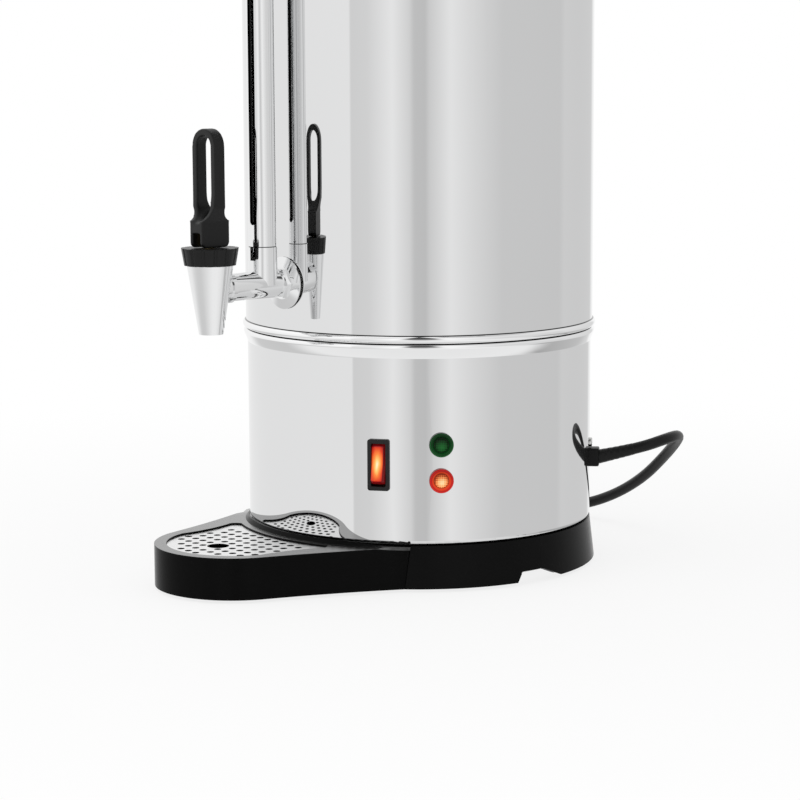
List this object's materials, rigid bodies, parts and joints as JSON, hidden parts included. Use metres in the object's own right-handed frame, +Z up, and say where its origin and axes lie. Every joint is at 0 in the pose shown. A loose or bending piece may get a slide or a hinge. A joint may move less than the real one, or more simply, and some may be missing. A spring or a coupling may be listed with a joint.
{
  "type": "coffee urn",
  "caption": "Stainless steel coffee urn: percolator tank over a heater shell, lever tap with sight glass, lid, side handles, rocker switch, signal lamps and a slide-off drip tray.",
  "frame": {"origin": "on the tank's axis, at the level of the foot ring's underside", "axes": "+Z up along the tank's axis, -Y toward the tap and drip tray, +X to the right seen from the front"},
  "size_m": [0.3837, 0.4152, 0.4885],
  "materials": {
    "black_plastic": "satin",
    "tray_plastic": "satin",
    "tap_plastic": "satin",
    "polished_steel": "polished",
    "plain_steel": "satin",
    "fastener_steel": "satin",
    "tap_chrome": "mirror",
    "nut_brass": "satin",
    "heater_metal": "satin",
    "soft_rubber": "matte",
    "silicone": "matte",
    "gauge_glass": "clear",
    "rocker_red": "gloss",
    "lens_red": "gloss",
    "lens_green": "gloss",
    "cord_black": "satin"
  },
  "bodies": {
    "urn": {"base_ring": "black_plastic", "bottom_cover": "plain_steel", "cover_screws": "fastener_steel", "foot_ring": "soft_rubber", "lower_shell": "polished_steel", "tank": "polished_steel", "tank_bottom": "plain_steel", "well_heater": "heater_metal", "warm_heater": "heater_metal", "heater_clips": "plain_steel", "thermostats": "heater_metal", "thermal_cutout": "heater_metal", "tie_rods": "fastener_steel", "rod_nuts": "fastener_steel", "terminal_block": "black_plastic", "earth_stud": "fastener_steel", "switch_housing": "black_plastic", "lamp_green": "lens_green", "lamp_red": "lens_red", "lamp_nuts": "fastener_steel", "cord_gland": "black_plastic", "gland_nut": "black_plastic", "panel_screw": "fastener_steel", "tap_tee": "tap_chrome", "tap_flange": "plain_steel", "outer_gasket": "soft_rubber", "inner_gasket": "silicone", "shank_nut": "nut_brass", "gauge_tube": "gauge_glass", "gauge_shield": "plain_steel", "gauge_cap": "tap_plastic", "gauge_seals": "silicone", "spout_body": "tap_chrome", "bonnet": "tap_plastic", "valve_spring": "fastener_steel", "handle_right": "black_plastic", "handle_left": "black_plastic", "handle_screws": "fastener_steel", "cord_run": "cord_black", "cord_coil": "cord_black", "cord_tail": "cord_black", "plug_body": "cord_black", "plug_pins": "nut_brass"},
    "rocker": {"switch_rocker": "rocker_red"},
    "stem": {"valve_stem": "fastener_steel", "seat_cup": "silicone", "lever_pin": "fastener_steel"},
    "tap_lever": {"lever": "tap_plastic"},
    "lid": {"lid": "polished_steel", "lid_knob": "black_plastic", "knob_screw": "fastener_steel"},
    "percolator": {"perc_tube": "plain_steel", "filter_basket": "plain_steel"},
    "spreader": {"basket_cover": "plain_steel"},
    "tray": {"drip_tray": "tray_plastic", "tray_pads": "soft_rubber"},
    "grid": {"tray_grid": "polished_steel"}
  },
  "joints": [
    {"name": "lid_lift", "type": "slide", "parent": "urn", "child": "lid", "axis": [0, 0, 1], "range_m": [0, 0.4]},
    {"name": "percolator_lift", "type": "slide", "parent": "urn", "child": "percolator", "axis": [0, 0, 1], "range_m": [0, 0.32]},
    {"name": "spreader_lift", "type": "slide", "parent": "percolator", "child": "spreader", "axis": [0, 0, 1], "range_m": [0, 0.04]},
    {"name": "lever_tilt", "type": "hinge", "parent": "stem", "child": "tap_lever", "pos_m": [0, -0.1629, 0.209], "axis": [1, 0, 0], "range_deg": [0, 35]},
    {"name": "stem_lift", "type": "slide", "parent": "urn", "child": "stem", "axis": [0, 0, 1], "range_m": [0, 0.0042], "stiffness_N_per_m": 200, "springref_m": -0.004, "deforming": ["valve_spring"]},
    {"name": "rocker_press", "type": "hinge", "parent": "urn", "child": "rocker", "pos_m": [0.05893, -0.08448, 0.0751], "axis": [0.8202, 0.5721, 0], "range_deg": [0, 22]},
    {"name": "tray_slide", "type": "slide", "parent": "urn", "child": "tray", "axis": [-0.0541, -0.9985, 0], "range_m": [0, 0.12]},
    {"name": "grid_lift", "type": "slide", "parent": "tray", "child": "grid", "axis": [0, 0, 1], "range_m": [0, 0.04]}
  ],
  "couplings": [
    {"joint": "percolator_lift", "follows": "lid_lift", "ratio": 0.8},
    {"joint": "spreader_lift", "follows": "lid_lift", "ratio": 0.1},
    {"joint": "lever_tilt", "follows": "stem_lift", "rad_per_m": 145.4}
  ]
}
